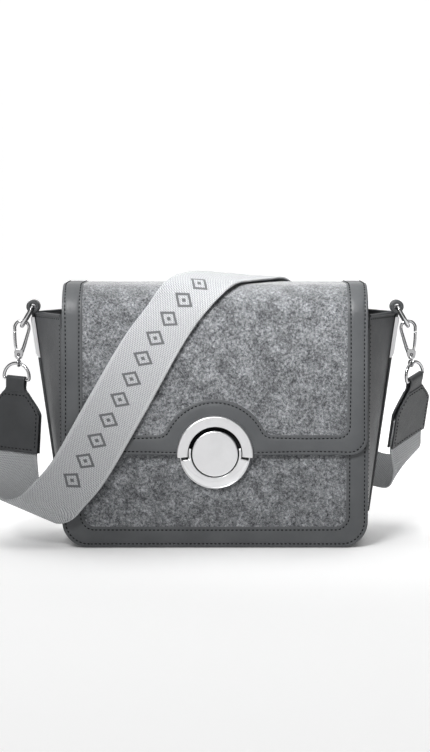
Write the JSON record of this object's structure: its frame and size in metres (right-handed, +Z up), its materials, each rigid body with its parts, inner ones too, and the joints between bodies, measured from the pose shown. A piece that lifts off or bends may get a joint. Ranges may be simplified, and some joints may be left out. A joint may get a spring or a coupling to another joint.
{
  "type": "flap shoulder bag",
  "caption": "Structured shoulder bag: felt panels in leather frames, winged sides, hinged flap with a round push lock, wide strap on snap hooks.",
  "frame": {"origin": "centre of the base's underside", "axes": "+X the bag's width to the viewer's right, -Y the front with the lock, +Z up"},
  "size_m": [0.3331, 0.1302, 0.1996],
  "materials": {
    "core_board": "stiff board",
    "leather": "smooth matte dark grey, stitched edges",
    "felt": "mottled grey wool felt",
    "lining_cloth": "plain woven lining",
    "metal_bright": "polished silver",
    "metal_plain": "plain steel",
    "webbing": "light grey twill with woven dark marks"
  },
  "bodies": {
    "case": {"front_core_board": "core_board", "back_core_board": "core_board", "base_board": "core_board", "front_leather_frame": "leather", "back_leather_frame": "leather", "base_strip": "leather", "front_felt_panel": "felt", "back_felt_panel": "felt", "lining": "lining_cloth", "inner_pocket": "lining_cloth", "lock_base": "metal_bright", "lock_backing_plate": "metal_plain", "lock_spring": "metal_plain", "lock_spring_cup": "metal_plain", "webbing_left": "webbing", "webbing_front": "webbing", "webbing_back": "webbing", "webbing_right": "webbing", "gusset_left_front": "leather", "gusset_left_back": "leather", "gusset_seam_left": "leather", "ring_loop_left": "leather", "fold_clip_left": "metal_bright", "gusset_right_front": "leather", "gusset_right_back": "leather", "gusset_seam_right": "leather", "ring_loop_right": "leather", "fold_clip_right": "metal_bright"},
    "flap": {"flap_leather_frame": "leather", "flap_felt_panel": "felt", "flap_backing": "lining_cloth", "flap_hinge_bead": "leather", "lock_half_ring": "metal_bright", "lock_ring_posts": "metal_plain"},
    "button": {"lock_button": "metal_bright"},
    "d_ring_left": {"d_ring_left": "metal_bright"},
    "strap_end_left": {"hook_swivel_left": "metal_bright", "strap_ring_left": "metal_bright", "strap_tab_left": "leather"},
    "hook_left": {"hook_frame_left": "metal_bright", "hook_pin_left": "metal_plain"},
    "gate_left": {"hook_gate_left": "metal_bright"},
    "d_ring_right": {"d_ring_right": "metal_bright"},
    "strap_end_right": {"hook_swivel_right": "metal_bright", "strap_ring_right": "metal_bright", "strap_tab_right": "leather"},
    "hook_right": {"hook_frame_right": "metal_bright", "hook_pin_right": "metal_plain"},
    "gate_right": {"hook_gate_right": "metal_bright"}
  },
  "joints": [
    {"name": "flap_hinge", "type": "hinge", "parent": "case", "child": "flap", "pos_m": [0, 0.0426, 0.166], "axis": [-1, 0, 0], "range_deg": [0, 105], "deforming": ["webbing_front", "webbing_back"]},
    {"name": "button_press", "type": "slide", "parent": "case", "child": "button", "axis": [0, 1, 0], "range_m": [0, 0.0015], "stiffness_N_per_m": 600, "springref_m": -0.001, "deforming": ["lock_spring"]},
    {"name": "strap_swing_left", "type": "hinge", "parent": "case", "child": "strap_end_left", "pos_m": [-0.135, 0, 0.1723], "axis": [0, 1, 0], "range_deg": [0, 20], "deforming": ["webbing_left"]},
    {"name": "d_ring_swing_left", "type": "hinge", "parent": "case", "child": "d_ring_left", "pos_m": [-0.135, 0, 0.1723], "axis": [0, 1, 0], "range_deg": [0, 20]},
    {"name": "hook_swivel_left", "type": "hinge", "parent": "strap_end_left", "child": "hook_left", "pos_m": [-0.1458, 0, 0.133], "axis": [0, 0, 1], "range_deg": [-15, 15]},
    {"name": "hook_gate_left", "type": "hinge", "parent": "hook_left", "child": "gate_left", "pos_m": [-0.1458, 0, 0.1372], "axis": [0, 1, 0], "range_deg": [0, 18], "stiffness_Nm_per_rad": 0.02, "springref_deg": -8.59},
    {"name": "strap_swing_right", "type": "hinge", "parent": "case", "child": "strap_end_right", "pos_m": [0.135, 0, 0.1723], "axis": [0, -1, 0], "range_deg": [0, 20], "deforming": ["webbing_right"]},
    {"name": "d_ring_swing_right", "type": "hinge", "parent": "case", "child": "d_ring_right", "pos_m": [0.135, 0, 0.1723], "axis": [0, -1, 0], "range_deg": [0, 20]},
    {"name": "hook_swivel_right", "type": "hinge", "parent": "strap_end_right", "child": "hook_right", "pos_m": [0.1458, 0, 0.133], "axis": [0, 0, 1], "range_deg": [-15, 15]},
    {"name": "hook_gate_right", "type": "hinge", "parent": "hook_right", "child": "gate_right", "pos_m": [0.1458, 0, 0.1372], "axis": [0, -1, 0], "range_deg": [0, 18], "stiffness_Nm_per_rad": 0.02, "springref_deg": -8.59}
  ],
  "couplings": [
    {"joint": "d_ring_swing_left", "follows": "strap_swing_left", "ratio": 1},
    {"joint": "d_ring_swing_right", "follows": "strap_swing_right", "ratio": 1}
  ]
}
